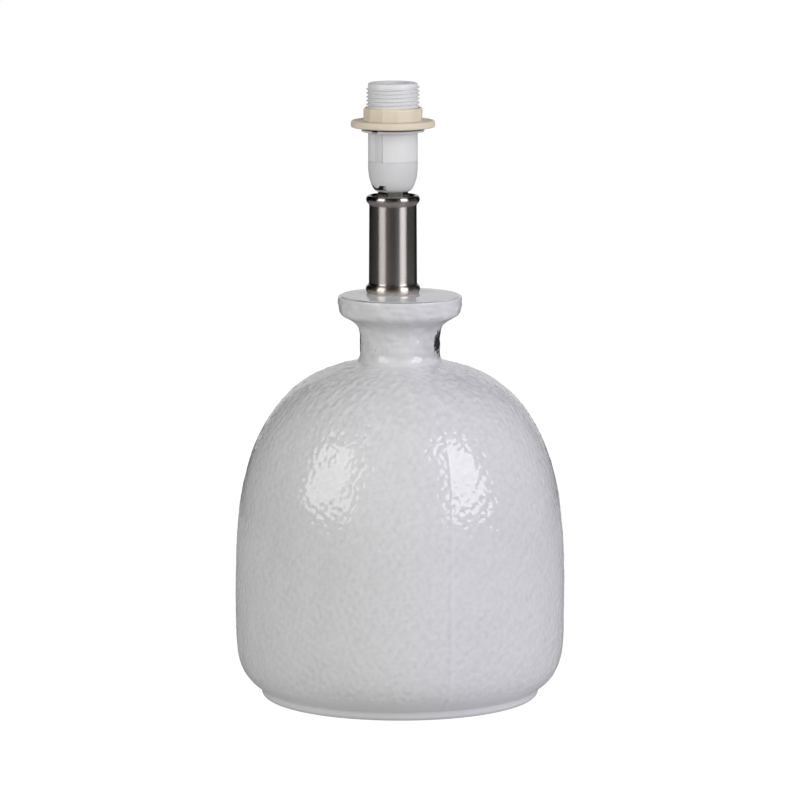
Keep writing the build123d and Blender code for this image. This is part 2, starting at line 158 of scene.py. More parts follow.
# ------------------------------------------------------------------ materials
def glaze_material():
    k = Mat("glaze")
    co = k.coords()
    big = k.noise(co, 14.0, 3.0, 0.55)
    fine = k.noise(co, 260.0, 3.0, 0.6)
    base = k.ramp(big, [(0.30, (0.655, 0.655, 0.655)), (0.70, (0.695, 0.695, 0.697))])
    cell = k.node("ShaderNodeAttribute", attribute_name="dimple").outputs["Fac"]
    # glaze pooling with painted shade from the dimple attribute: darker in the dents, lighter on the rises
    pooled_and_shaded = k.mix(k.rng(cell, -0.5, 1.0, 0.0, 1.0), (0.888, 0.888, 0.896), (1.0, 1.0, 1.0))
    # painted light: the glaze is tinted a touch cooler on the right of the mould seam, standing in for the cooler light
    # from the right
    cool_light_tint = k.node("ShaderNodeAttribute", attribute_name="cool_light_tint").outputs["Fac"]
    col = k.multiply(k.multiply(base, pooled_and_shaded), k.mix(cool_light_tint, (1.0, 1.0, 1.0), (0.998, 0.990, 1.030)))
    # dark marks on the neck, with painted shade on the neck's sides and at the collar's rim step
    dark_marks_and_shade = k.node("ShaderNodeAttribute", attribute_name="dark_marks_and_shade").outputs["Fac"]
    col = k.mix(dark_marks_and_shade, col, (0.020, 0.020, 0.021))
    k.link(col, k.b.inputs["Base Color"])
    k.link(k.rng(fine, 0.3, 0.7, 0.055, 0.10), k.b.inputs["Roughness"])
    k.set(IOR=1.50)
    micro = k.noise(co, 900.0, 2.0, 0.5)
    k.link(k.bump(micro, 0.10, 0.00006), k.b.inputs["Normal"])
    return k.m


def bisque_material():
    k = Mat("bisque")
    co = k.coords()
    n = k.noise(co, 700.0, 4.0, 0.65)
    k.link(k.ramp(n, [(0.3, (0.56, 0.53, 0.48)), (0.7, (0.68, 0.65, 0.60))]), k.b.inputs["Base Color"])
    k.link(k.rng(n, 0.3, 0.7, 0.75, 0.95), k.b.inputs["Roughness"])
    k.link(k.bump(n, 0.5, 0.0002), k.b.inputs["Normal"])
    return k.m


def nickel_material(name="satin_nickel", base=(0.52, 0.473, 0.457), rough=0.33, aniso=0.93):
    k = Mat(name)
    co = k.coords()
    # fine brushing round the tube: noise stretched along the turn direction
    sep = k.node("ShaderNodeSeparateXYZ", ins={"Vector": co})
    lines = k.noise(k.scaled(co, (60.0, 60.0, 5200.0)), 1.0, 3.0, 0.6)
    cloud = k.noise(co, 160.0, 2.0, 0.5)
    col = k.mix(k.rng(lines, 0.3, 0.7, 0.0, 1.0), tuple(c * 0.93 for c in base), base)
    # painted reflection: the foot bead below z 0.2192 takes a lighter, warmer base colour for the glaze and warm
    # surroundings it reflects
    col = k.mix(k.rng(sep.outputs["Z"], 0.2192, 0.2208, 1.0, 0.0), col, (0.74, 0.665, 0.60))
    k.link(col, k.b.inputs["Base Color"])
    r = k.math("ADD", k.rng(lines, 0.25, 0.75, rough - 0.04, rough + 0.04), k.rng(cloud, 0.3, 0.7, -0.01, 0.02))
    # the foot's bead is a little duller than the tube, the top one is burnished
    low_bead = k.rng(sep.outputs["Z"], 0.2196, 0.2206, 0.98, 1.0)
    high_bead = k.rng(sep.outputs["Z"], 0.2612, 0.2622, 1.0, 0.80)
    r = k.math("MULTIPLY", r, k.math("MULTIPLY", low_bead, high_bead))
    k.link(r, k.b.inputs["Roughness"])
    k.set(Metallic=1.0, Anisotropic=aniso, Anisotropic_Rotation=0.25)
    tan = k.node("ShaderNodeTangent", direction_type="RADIAL", axis="Z")
    k.link(tan.outputs[0], k.b.inputs["Tangent"])
    k.link(k.bump(lines, 0.12, 0.00003), k.b.inputs["Normal"])
    return k.m


def steel_material(name="zinc_steel", base=(0.42, 0.415, 0.40), rough=0.32):
    k = Mat(name)
    co = k.coords()
    n = k.noise(co, 900.0, 3.0, 0.6)
    c = k.noise(co, 120.0, 2.0, 0.5)
    k.link(k.mix(k.rng(c, 0.3, 0.7, 0.0, 1.0), tuple(x * 0.85 for x in base), base), k.b.inputs["Base Color"])
    k.link(k.rng(n, 0.3, 0.7, rough - 0.06, rough + 0.08), k.b.inputs["Roughness"])
    k.set(Metallic=1.0)
    k.link(k.bump(n, 0.2, 0.00004), k.b.inputs["Normal"])
    return k.m


def plastic_material(name, low, high, rough=0.38, sub=0.0, bump=0.25, scale=1800.0):
    k = Mat(name)
    co = k.coords()
    n = k.noise(co, scale, 2.0, 0.5)
    c = k.noise(co, 70.0, 3.0, 0.5)
    k.link(k.ramp(c, [(0.3, low), (0.7, high)]), k.b.inputs["Base Color"])
    k.link(k.rng(n, 0.3, 0.7, rough - 0.05, rough + 0.07), k.b.inputs["Roughness"])
    k.link(k.bump(n, bump, 0.00003), k.b.inputs["Normal"])
    if sub:
        k.set(Subsurface_Weight=sub, Subsurface_Scale=0.002)
        k.b.inputs["Subsurface Radius"].default_value = (1.0, 0.55, 0.35)
    return k.m


def felt_material():
    k = Mat("felt")
    co = k.coords()
    n = k.noise(k.scaled(co, (1.0, 1.0, 1.0)), 1500.0, 5.0, 0.7, 0.6)
    c = k.noise(co, 90.0, 3.0, 0.5)
    k.link(k.mix(k.rng(n, 0.35, 0.65, 0.0, 1.0), (0.012, 0.012, 0.013), (0.05, 0.05, 0.052)), k.b.inputs["Base Color"])
    k.link(k.rng(c, 0.3, 0.7, 0.9, 1.0), k.b.inputs["Roughness"])
    k.set(Sheen_Weight=0.4, Sheen_Roughness=0.5)
    k.link(k.bump(n, 0.8, 0.0004), k.b.inputs["Normal"])
    return k.m


def rubber_material():
    k = Mat("gasket_rubber")
    n = k.noise(k.coords(), 800.0, 3.0, 0.6)
    k.link(k.ramp(n, [(0.3, (0.02, 0.02, 0.02)), (0.7, (0.04, 0.04, 0.04))]), k.b.inputs["Base Color"])
    k.link(k.rng(n, 0.3, 0.7, 0.6, 0.8), k.b.inputs["Roughness"])
    k.link(k.bump(n, 0.3, 0.0001), k.b.inputs["Normal"])
    return k.m


glaze = glaze_material()
bisque = bisque_material()
nickel = nickel_material()
steel = steel_material()
shell_metal = steel_material("shell_nickel", (0.62, 0.60, 0.56), 0.28)
brass = steel_material("brass_contact", (0.72, 0.50, 0.20), 0.30)
white_plastic = plastic_material("holder_plastic", (0.675, 0.675, 0.674), (0.71, 0.71, 0.712), 0.36, 0.0)
dome_plastic = plastic_material("dome_plastic", (0.595, 0.585, 0.587), (0.63, 0.621, 0.623), 0.36, 0.0)
# painted shade: dark brown for the rebate faces under the ring's flange, where the flange's shadow falls
groove_painted_shade = plastic_material("seat_groove_painted_shade", (0.25, 0.222, 0.185), (0.31, 0.28, 0.235), 0.6, 0.0)
# painted shade: near-black for the holder's insides, window and latch slots, which are white plastic in shade
inside_painted_shade = plastic_material("holder_inside_painted_shade", (0.030, 0.028, 0.027), (0.045, 0.042, 0.040), 0.6, 0.0)
cream_plastic = plastic_material("ring_plastic", (0.68, 0.60, 0.475), (0.725, 0.64, 0.505), 0.42, 0.25)
carrier_mat = plastic_material("carrier_ceramic", (0.70, 0.69, 0.66), (0.76, 0.75, 0.72), 0.6, 0.0, 0.4, 900.0)
bush_plastic = plastic_material("bushing_plastic", (0.66, 0.66, 0.65), (0.70, 0.70, 0.69), 0.45)
felt = felt_material()
rubber = rubber_material()

by_slot = {
    "glaze": glaze, "felt": felt, "bushing_plastic": bush_plastic, "zinc_steel": steel,
    "gasket_rubber": rubber, "satin_nickel": nickel, "holder_plastic": white_plastic,
    "ring_plastic": cream_plastic, "carrier_ceramic": carrier_mat, "brass_contact": brass,
    "shell_nickel": shell_metal,
}
slot_of = {s["node"]: s["material_slot"] for s in frame["record"]["subparts"]}
bright_zinc = steel_material("bright_zinc", (0.80, 0.79, 0.77), 0.17)
for node_name, ob in frame["nodes"].items():
    mat = by_slot[slot_of[node_name]]
    if node_name in ("upper_hex_nut", "sleeve_top_cap", "tooth_washer"):
        mat = bright_zinc
    if not ob.material_slots:
        ob.data.materials.append(mat)
    for ms in ob.material_slots:
        ms.material = mat


# ------------------------------------------------------------------ profiles
def bezier(ctrl, n):
    t = np.linspace(0.0, 1.0, n)[:, None]
    d = len(ctrl) - 1
    return sum(math.comb(d, i) * (1 - t) ** (d - i) * t ** i * np.array(p, float) for i, p in enumerate(ctrl))


def clamped_spline(pts, t0, t1, n):
    """Cubic spline through the points with given end directions, chord-length parameter."""
    p = np.array(pts, float)
    u = np.concatenate([[0.0], np.cumsum(np.hypot(*np.diff(p, axis=0).T))])
    m = len(p)
    a0 = np.array(t0, float) / np.hypot(*t0)
    a1 = np.array(t1, float) / np.hypot(*t1)
    mat = np.zeros((m, m))
    rhs = np.zeros((m, 2))
    mat[0, 0] = mat[-1, -1] = 1.0
    rhs[0], rhs[-1] = a0, a1
    for i in range(1, m - 1):
        h0, h1 = u[i] - u[i - 1], u[i + 1] - u[i]
        mat[i, i - 1], mat[i, i], mat[i, i + 1] = h1, 2 * (h0 + h1), h0
        rhs[i] = 3 * (h1 * (p[i] - p[i - 1]) / h0 + h0 * (p[i + 1] - p[i]) / h1)
    k = np.linalg.solve(mat, rhs)
    out = []
    for i in range(m - 1):
        h = u[i + 1] - u[i]
        steps = max(2, int(n * h / u[-1]) + 1)
        s = np.linspace(0, 1, steps, endpoint=(i == m - 2))[:, None]
        out.append((2 * s**3 - 3 * s**2 + 1) * p[i] + (s**3 - 2 * s**2 + s) * h * k[i]
                   + (-2 * s**3 + 3 * s**2) * p[i + 1] + (s**3 - s**2) * h * k[i + 1])
    return np.vstack(out)


def straight(a, b, n=2):
    t = np.linspace(0, 1, n)[:, None]
    return np.array(a, float) * (1 - t) + np.array(b, float) * t


def chain(*parts):
    out = [parts[0]]
    for q in parts[1:]:
        if np.hypot(*(q[0] - out[-1][-1])) < 1e-4:
            q = q[1:]
        out.append(q)
    return np.vstack(out)


def resample(poly, spacing):
    """Points along a polyline; spacing is a number or a function of (r, z)."""
    seg = np.hypot(*np.diff(poly, axis=0).T)
    cum = np.concatenate([[0.0], np.cumsum(seg)])
    dense = np.arange(0, cum[-1], 0.02)
    q = np.stack([np.interp(dense, cum, poly[:, 0]), np.interp(dense, cum, poly[:, 1])], 1)
    if callable(spacing):
        sp = np.array([spacing(r, z) for r, z in q])
    else:
        sp = np.full(len(q), float(spacing))
    count = np.cumsum(0.02 / sp)
    n = max(2, int(round(count[-1])))
    at = np.interp(np.linspace(count[0], count[-1], n + 1), count, dense)
    at[0], at[-1] = 0.0, cum[-1]
    return np.stack([np.interp(at, cum, poly[:, 0]), np.interp(at, cum, poly[:, 1])], 1), at


def new_mesh(name, verts, faces, mats, smooth=True, face_mats=None):
    me = bpy.data.meshes.new(name)
    me.from_pydata([tuple(v) for v in verts], [], faces)
    for m in mats:
        me.materials.append(m)
    if smooth:
        me.polygons.foreach_set("use_smooth", [True] * len(me.polygons))
    if face_mats is not None:
        me.polygons.foreach_set("material_index", np.asarray(face_mats, dtype=np.int32))
    me.update()
    ob = bpy.data.objects.new(name, me)
    scene.collection.objects.link(ob)
    return ob


def fast_mesh(name, verts, quads, mats, face_mats=None, smooth=None):
    """A quad mesh from numpy arrays (verts in metres)."""
    me = bpy.data.meshes.new(name)
    nv, nf = len(verts), len(quads)
    me.vertices.add(nv)
    me.vertices.foreach_set("co", np.ascontiguousarray(verts, dtype=np.float32).ravel())
    me.loops.add(nf * 4)
    me.loops.foreach_set("vertex_index", np.ascontiguousarray(quads, dtype=np.int32).ravel())
    me.polygons.add(nf)
    me.polygons.foreach_set("loop_start", np.arange(0, nf * 4, 4, dtype=np.int32))
    try:
        me.polygons.foreach_set("loop_total", np.full(nf, 4, dtype=np.int32))
    except Exception:
        pass
    for m in mats:
        me.materials.append(m)
    if face_mats is not None:
        me.polygons.foreach_set("material_index", np.asarray(face_mats, dtype=np.int32))
    me.update(calc_edges=True)
    me.validate()
    me.polygons.foreach_set("use_smooth", np.ones(nf, dtype=bool) if smooth is None else smooth)
    me.update()
    ob = bpy.data.objects.new(name, me)
    scene.collection.objects.link(ob)
    return ob


def lathe_mesh(name, prof, cols, mats, x0=0.0, closed=True, row_mats=None, theta0=0.0):
    """Revolves a closed (r, z) profile in mm round the vertical axis at x0."""
    prof = np.asarray(prof, float)
    rows = len(prof)
    th = theta0 + np.arange(cols) * 2 * math.pi / cols
    r, z = prof[:, 0][:, None], prof[:, 1][:, None]
    v = np.stack([x0 + r * np.cos(th), r * np.sin(th), np.broadcast_to(z, (rows, cols))], -1).reshape(-1, 3) * MM
    i = np.arange(rows if closed else rows - 1)
    j = np.arange(cols)
    I, J = np.meshgrid(i, j, indexing="ij")
    I2, J2 = (I + 1) % rows, (J + 1) % cols
    quads = np.stack([I * cols + J, I * cols + J2, I2 * cols + J2, I2 * cols + J], -1).reshape(-1, 4)
    fm = None
    if row_mats is not None:
        fm = np.repeat(np.asarray(row_mats)[: len(i)], cols)
    return fast_mesh(name, v, quads, mats, fm)


# ------------------------------------------------------------------ vessel
LOW = [(74.89, 5.6), (85.86, 13.47), (87.45, 18.92), (87.45, 50.0)]
HIGH = [(87.45, 50.0), (87.45, 126.43), (80.43, 73.97), (93.31, 178.47), (38.51, 172.93), (23.4, 178.75)]
FLARE = [(21.35, 183.5), (21.4, 189.0), (21.9, 195.0), (22.9, 197.6), (24.9, 199.6), (27.5, 201.1),
         (30.2, 202.5), (31.9, 204.3), (32.55, 206.6), (32.8, 209.6)]

outer = chain(
    straight((66.0, 0.0), (70.4, 0.0)),
    clamped_spline([(70.4, 0.0), (72.3, 0.72), (73.4, 2.6)], (1, 0), (0, 1), 40),
    straight((73.4, 2.6), (73.4, 4.0)),
    clamped_spline([(73.4, 4.0), (73.60, 4.72), (74.08, 5.20), (74.89, 5.6)], (0, 1), (0.89, 0.46), 24),
    bezier(LOW, 400),
    bezier(HIGH, 1600),
    clamped_spline([(23.4, 178.75), (21.9, 180.4), (21.35, 183.5)], (-0.94, 0.34), (0, 1), 80),
    clamped_spline(FLARE, (0, 1), (0, 1), 300),
    clamped_spline([(32.8, 209.6), (32.77, 211.3), (32.60, 212.70)], (0, 1), (-0.20, 0.98), 40),
    clamped_spline([(32.60, 212.70), (32.38, 213.02), (31.95, 213.14), (31.40, 213.15)], (-0.20, 0.98), (-1, 0), 40),
    clamped_spline([(31.40, 213.15), (31.26, 213.22), (31.17, 213.45), (31.08, 213.72), (30.86, 213.86), (30.30, 213.88)],
                   (-1, 0), (-0.995, 0.08), 80),
    clamped_spline([(30.30, 213.88), (24.5, 214.42), (17.0, 215.0)], (-0.995, 0.08), (-1, 0), 60),
    straight((17.0, 215.0), (9.4, 215.0)),
    clamped_spline([(9.4, 215.0), (9.0, 214.85), (8.8, 214.4)], (-1, 0), (0, -1), 12),
)


def body_spacing(r, z):
    if z < 0.01 or z > 214.99:
        return 1.2
    if z < 6.0:
        return 0.30
    if z < 178.0:
        return 0.60
    if z < 184.0:
        return 0.35
    if z < 196.0:
        return 0.6
    if 212.6 < z < 213.92:
        return 0.09 if z > 213.1 else 0.13
    if 203.0 < z <= 212.6:
        return 0.38
    return 0.5


rings, arc = resample(outer, body_spacing)
# the inside: an even wall, closed off by the collar plate and the floor
wall = 5.2
inner = [(8.8, 209.0), (12.0, 209.0), (16.8, 209.0), (16.8, 200.0), (16.8, 190.0), (16.8, 180.5)]
hb = bezier(HIGH, 41)
tb = np.gradient(hb, axis=0)
nb = np.stack([-tb[:, 1], tb[:, 0]], 1) / np.hypot(tb[:, 0], tb[:, 1])[:, None]
inner += [(20.2, 174.2)] + [tuple(p) for p in (hb + nb * wall)[36:0:-3]]
lb = bezier(LOW, 41)
tl = np.gradient(lb, axis=0)
nl = np.stack([-tl[:, 1], tl[:, 0]], 1) / np.hypot(tl[:, 0], tl[:, 1])[:, None]
inner += [tuple(p) for p in resample((lb + nl * wall)[40:12:-1], 0.6)[0]]
inner += [(70.0, 9.2), (50.0, 8.8), (30.0, 8.8), (30.0, 3.2), (45.0, 3.2), (65.0, 3.2), (65.4, 2.0)]
inner = np.array(inner)

COLS = 960
n_out = len(rings)
prof = np.vstack([rings, inner])
tang = np.gradient(rings, axis=0)
norm = np.stack([tang[:, 1], -tang[:, 0]], 1)
norm /= np.maximum(np.hypot(norm[:, 0], norm[:, 1]), 1e-9)[:, None]      # outward

theta = np.arange(COLS) * 2 * math.pi / COLS
R, Z = rings[:, 0][:, None], rings[:, 1][:, None]
X = R * np.cos(theta)
Y = R * np.sin(theta)
Zb = np.broadcast_to(Z, X.shape)
pts = np.stack([X, Y, Zb], -1).reshape(-1, 3)


def waves(p, wavelength, count, seed, squash=(1.0, 1.0, 1.0)):
    """Smooth random field of about unit spread, from sinusoids of nearly one wavelength."""
    g = np.random.default_rng(seed)
    d = g.normal(size=(count, 3))
    d /= np.linalg.norm(d, axis=1)[:, None]
    k = d * (2 * math.pi / (wavelength * g.uniform(0.75, 1.35, (count, 1)))) * np.array(squash)
    ph = g.uniform(0, 2 * math.pi, count)
    out = np.zeros(len(p))
    for i in range(count):
        out += np.sin(p @ k[i] + ph[i])
    return out * math.sqrt(2.0 / count)


zz = pts[:, 2]
rr = np.hypot(pts[:, 0], pts[:, 1])


def ramp01(v, a, b):
    t = np.clip((v - a) / (b - a), 0, 1)
    return t * t * (3 - 2 * t)


on_body = ramp01(zz, 6.5, 14.0) * (1 - ramp01(zz, 176.0, 179.5))
on_neck = ramp01(zz, 179.0, 182.0) * (1 - ramp01(zz, 210.5, 212.4))
# hammered glaze: shallow dents about 3 to 4 mm across, over a slower sway
dents = waves(pts, 3.7, 46, 11)
small = waves(pts, 2.3, 40, 12)
sway = waves(pts, 9.0, 26, 13)
low = waves(pts, 21.0, 22, 51)
patchy = 0.80 + 0.35 * np.tanh(waves(pts, 30.0, 14, 31))
hammer = np.where(dents < 0, dents * 1.15, 0.85 * dents)
relief = 0.060 * hammer + 0.022 * small
# rolling wrinkles where the shoulder runs up to the neck, and round the neck itself
upper = ramp01(zz, 140.0, 165.0) * (1 - ramp01(zz, 177.5, 181.0))
wrinkle = waves(pts, 5.4, 30, 141)
ripple = waves(pts, 4.6, 30, 143, (0.55, 0.55, 1.5))
slow = on_body * (0.070 * low + 0.030 * sway) + on_neck * (0.070 * waves(pts, 9.0, 20, 91, (0.6, 0.6, 1.6)) + 0.04 * low)
disp = (on_body * patchy + 0.55 * on_neck) * relief + upper * 0.062 * wrinkle + on_neck * 0.040 * ripple + slow - on_body * 0.33 - upper * 0.08 - on_neck * 0.31

# mould seams: a fettled ridge with a short rise on one side
seam_light_and_shade = np.zeros(len(pts))
ang = np.arctan2(pts[:, 1], pts[:, 0])
for seam_deg, side in ((287.75, 1.0), (107.75, 1.0)):
    lean = np.radians(seam_deg + 0.45 * ramp01(zz, 60.0, 105.0) + 1.35 * ramp01(zz, 95.0, 134.0))
    d = (ang - lean + math.pi) % (2 * math.pi) - math.pi
    d = d * rr * side
    live = ramp01(zz, 3.0, 7.0) * (1 - ramp01(zz, 150.0, 172.0))
    rise = np.where((d > -2.2) & (d <= 0.0), np.clip(1 + d / 2.2, 0, 1) ** 2, 0.0)
    fall = np.where(d > 0.0, 1 - ramp01(d, 0.0, 0.70), 0.0)
    disp += live * (0.17 * rise + 0.17 * fall)
    # painted shade along the seam's foot and a painted highlight on its crest, where the glaze also lies thicker and
    # thinner
    seam_foot_shade = np.exp(-((d + 1.15) / 0.75) ** 2)
    seam_crest_highlight = np.exp(-((d - 0.95) / 0.95) ** 2)
    seam_light_and_shade += live * (0.44 * seam_crest_highlight - 0.50 * seam_foot_shade)
disp = np.minimum(disp, -0.01)
disp *= ramp01(zz, 1.2, 3.0) * (1 - ramp01(zz, 212.3, 213.0))
nrm = np.repeat(norm, COLS, axis=0)
ca = np.tile(np.cos(theta), n_out)
sa = np.tile(np.sin(theta), n_out)
moved = pts.copy()
moved[:, 0] += disp * nrm[:, 0] * ca
moved[:, 1] += disp * nrm[:, 0] * sa
moved[:, 2] += disp * nrm[:, 1]

# dark ragged patches low on the neck's right side and at its left edge
az = np.degrees((ang - math.radians(270.0) + math.pi) % (2 * math.pi) - math.pi)
edge = waves(pts, 3.2, 16, 131)
ragged = 0.085 * edge + 0.055 * waves(pts, 1.7, 18, 137)


def blot(az0, z0, half_az, half_z):
    """1 inside a ragged rounded patch on the neck, falling to 0 at its rim."""
    e = (np.abs((az - az0) / half_az) ** 2.8 + np.abs((zz - z0) / half_z) ** 2.8) ** (1 / 2.8)
    return 1 - ramp01(e + ragged, 0.90, 1.02)


dark_marks_and_shade = 0.97 * blot(72.0, 190.1, 14.0, 5.9)
dark_marks_and_shade = np.maximum(dark_marks_and_shade, 0.80 * blot(80.0, 182.6, 5.0, 1.9))
dark_marks_and_shade = np.maximum(dark_marks_and_shade, 0.85 * blot(-83.5, 188.8, 7.5, 5.2))

# grey specks under the right-hand patch, and painted shade greying the neck towards its right side and, more faintly,
# its left
speck = ramp01(waves(pts, 2.6, 18, 151), 0.1, 1.1)
around = ramp01(az, 50.0, 60.0) * (1 - ramp01(az, 82.0, 92.0))
dark_marks_and_shade = np.maximum(dark_marks_and_shade, 0.50 * speck * around * ramp01(zz, 180.4, 181.6) * (1 - ramp01(zz, 185.0, 186.0)))
neck_zone = ramp01(zz, 180.0, 184.0) * (1 - ramp01(zz, 197.0, 203.0))
dark_marks_and_shade = np.maximum(dark_marks_and_shade, 0.13 * neck_zone * ramp01(az, 18.0, 44.0) * (1 - ramp01(az, 80.0, 110.0)))
dark_marks_and_shade = np.maximum(dark_marks_and_shade, 0.05 * neck_zone * ramp01(-az, 50.0, 75.0) * (1 - ramp01(-az, 90.0, 110.0)))

# painted shade and a painted dark reflection at the foot of the step behind the collar's rim, in stretches, deepest at
# the front
rim_step_shade = ramp01(zz, 213.12, 213.16) * (1 - ramp01(zz, 213.58, 213.68)) * (rr < 31.7)
stretch = 0.02 + 0.16 * ramp01(waves(pts * np.array([1.0, 1.0, 0.0]), 24.0, 12, 177), -0.6, 0.9)
stretch += 0.55 * (1 - ramp01(np.abs(az + 6.0), 26.0, 60.0))
dark_marks_and_shade = np.maximum(dark_marks_and_shade, rim_step_shade * stretch)
# two small pits low on the neck
for pit_az, pit_z, pit_r in ((-37.0, 186.6, 0.55), (-34.0, 188.3, 0.35)):
    away = np.hypot((az - pit_az) * math.pi / 180 * rr, zz - pit_z)
    dark_marks_and_shade = np.maximum(dark_marks_and_shade, 0.55 * (1 - ramp01(away, 0.3 * pit_r, pit_r)))

inner_v = np.stack([inner[:, 0][:, None] * np.cos(theta), inner[:, 0][:, None] * np.sin(theta),
                    np.broadcast_to(inner[:, 1][:, None], (len(inner), COLS))], -1).reshape(-1, 3)
verts = np.vstack([moved, inner_v]) * MM
rows = n_out + len(inner)
I, J = np.meshgrid(np.arange(rows), np.arange(COLS), indexing="ij")
I2, J2 = (I + 1) % rows, (J + 1) % COLS
quads = np.stack([I * COLS + J, I * COLS + J2, I2 * COLS + J2, I2 * COLS + J], -1).reshape(-1, 4)
row_mat = np.zeros(rows, dtype=np.int32)
row_mat[: n_out] = np.where(rings[:, 1] < 0.35, 1, 0)
row_mat[n_out:] = 1
vessel = fast_mesh("vessel_glazed", verts, quads, [glaze, bisque], np.repeat(row_mat, COLS))
att = vessel.data.attributes.new("dimple", "FLOAT", "POINT")
# glaze tone: pooling with painted shade, darker in the dents and lighter on the rises; painted shade also darkens the
# upper shoulder, and the neck is darkened overall
glaze_pool_and_shade = 0.5 + 0.27 * (dents + 0.6 * small) * np.maximum(on_body, 0.4 * on_neck)
glaze_pool_and_shade += upper * (0.34 * wrinkle - 0.30) + on_neck * (0.40 * ripple - 0.22) + seam_light_and_shade
att.data.foreach_set("value", np.concatenate([np.clip(glaze_pool_and_shade, -0.5, 1), np.ones(len(inner_v))]).astype(np.float32))
# painted light: a cool tint round the right side, for the cooler light from that side
att = vessel.data.attributes.new("cool_light_tint", "FLOAT", "POINT")
cool_light_tint = ramp01(az, -2.0, 22.0) * (1 - ramp01(az, 140.0, 175.0))
att.data.foreach_set("value", np.concatenate([cool_light_tint, np.zeros(len(inner_v))]).astype(np.float32))
att = vessel.data.attributes.new("dark_marks_and_shade", "FLOAT", "POINT")
att.data.foreach_set("value", np.concatenate([dark_marks_and_shade, np.zeros(len(inner_v))]).astype(np.float32))


def cut_round_hole(ob, origin, axis, radius, margin):
    """Opens a round hole through the wall along an axis and closes its sides."""
    bm = bmesh.new()
    bm.from_mesh(ob.data)
    o = np.array(origin) * MM
    a = np.array(axis, float)
    a /= np.linalg.norm(a)
    co = np.empty(len(ob.data.vertices) * 3)
    ob.data.vertices.foreach_get("co", co)
    co = co.reshape(-1, 3) - o
    along = co @ a
    off = np.linalg.norm(co - along[:, None] * a, axis=1)
    near = (np.abs(along) < 20 * MM) & (off < (radius + margin) * MM)
    bm.verts.ensure_lookup_table()
    gone = {f for i in np.flatnonzero(near) for f in bm.verts[int(i)].link_faces}
    bmesh.ops.delete(bm, geom=list(gone), context="FACES")
    rim = [e for e in bm.edges if e.is_boundary]
    for v in {v for e in rim for v in e.verts}:
        p = np.array(v.co) - o
        t = float(p @ a)
        q = p - t * a
        v.co = o + t * a + q * (radius * MM / np.linalg.norm(q))
    bmesh.ops.bridge_loops(bm, edges=rim)
    bm.to_mesh(ob.data)
    bm.free()
    ob.data.update()


cut_round_hole(vessel, (0.0, 84.597, 17.0), (0.0, 0.9358, -0.3525), 4.24, 0.0)
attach(vessel, "root")
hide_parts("vessel")

# ------------------------------------------------------------------ stem sleeve
sleeve_prof = chain(
    straight((11.3, 215.0), (13.55, 215.0)),
    clamped_spline([(13.55, 215.0), (14.12, 215.9), (14.35, 217.2), (13.95, 218.7), (13.05, 219.75)],
                   (0.75, 0.66), (-0.72, 0.69), 60),
    clamped_spline([(13.05, 219.75), (12.78, 220.2), (12.70, 220.9)], (-0.72, 0.69), (0, 1), 20),
    straight((12.70, 220.9), (12.50, 260.9), 60),
    clamped_spline([(12.50, 260.9), (12.62, 261.6), (12.95, 262.1)], (0, 1), (0.75, 0.66), 16),
    clamped_spline([(12.95, 262.1), (13.75, 263.1), (14.15, 264.5), (13.8, 265.8), (12.95, 266.5),
                    (12.1, 266.15), (11.3, 265.2)], (0.72, 0.69), (-0.6, -0.8), 90),
    straight((11.3, 265.2), (11.3, 215.0), 30),
)[:-1]
sleeve = lathe_mesh("stem_sleeve_brushed", sleeve_prof, 240, [nickel], STEM_X)
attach(sleeve, "root")
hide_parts("stem_sleeve")

# ------------------------------------------------------------------ lampholder dome
def prism(angles, r0, r1, low, high, mats, index=1):
    """A closed ring segment between two radii; low and high give z for an angle in degrees."""
    v = []
    for a in angles:
        c, q = math.cos(math.radians(a)), math.sin(math.radians(a))
        for r, z in ((r0, low(a)), (r1, low(a)), (r1, high(a)), (r0, high(a))):
            v.append(((STEM_X + r * c) * MM, r * q * MM, z * MM))
    n = len(angles)
    f = [(4 * i + k, 4 * i + (k + 1) % 4, 4 * i + 4 + (k + 1) % 4, 4 * i + 4 + k) for i in range(n - 1) for k in range(4)]
    f += [(0, 1, 2, 3), (4 * n - 1, 4 * n - 2, 4 * n - 3, 4 * n - 4)]
    ob = new_mesh("cutter", v, f, mats, False, [index] * len(f))
    bm = bmesh.new()
    bm.from_mesh(ob.data)
    bmesh.ops.recalc_face_normals(bm, faces=bm.faces)
    bm.to_mesh(ob.data)
    bm.free()
    return ob


def cut_away(ob, cutters):
    """Subtracts the cutters and keeps the result as the object's own mesh."""
    for c in cutters:
        m = ob.modifiers.new("cut", "BOOLEAN")
        m.operation, m.solver, m.object = "DIFFERENCE", "EXACT", c
    dg = bpy.context.evaluated_depsgraph_get()
    me = bpy.data.meshes.new_from_object(ob.evaluated_get(dg))
    ob.modifiers.clear()
    ob.data = me
    for c in cutters:
        bpy.data.objects.remove(c)


def sharpen(ob, degrees=32.0):
    """Smooth shading except over edges sharper than this."""
    bm = bmesh.new()
    bm.from_mesh(ob.data)
    bmesh.ops.remove_doubles(bm, verts=bm.verts, dist=2e-6)
    for f in bm.faces:
        f.smooth = True
    for e in bm.edges:
        e.smooth = e.calc_face_angle(math.pi) < math.radians(degrees)
    bm.to_mesh(ob.data)
    bm.free()


def outward(ob):
    bm = bmesh.new()
    bm.from_mesh(ob.data)
    bmesh.ops.recalc_face_normals(bm, faces=bm.faces)
    bm.to_mesh(ob.data)
    bm.free()


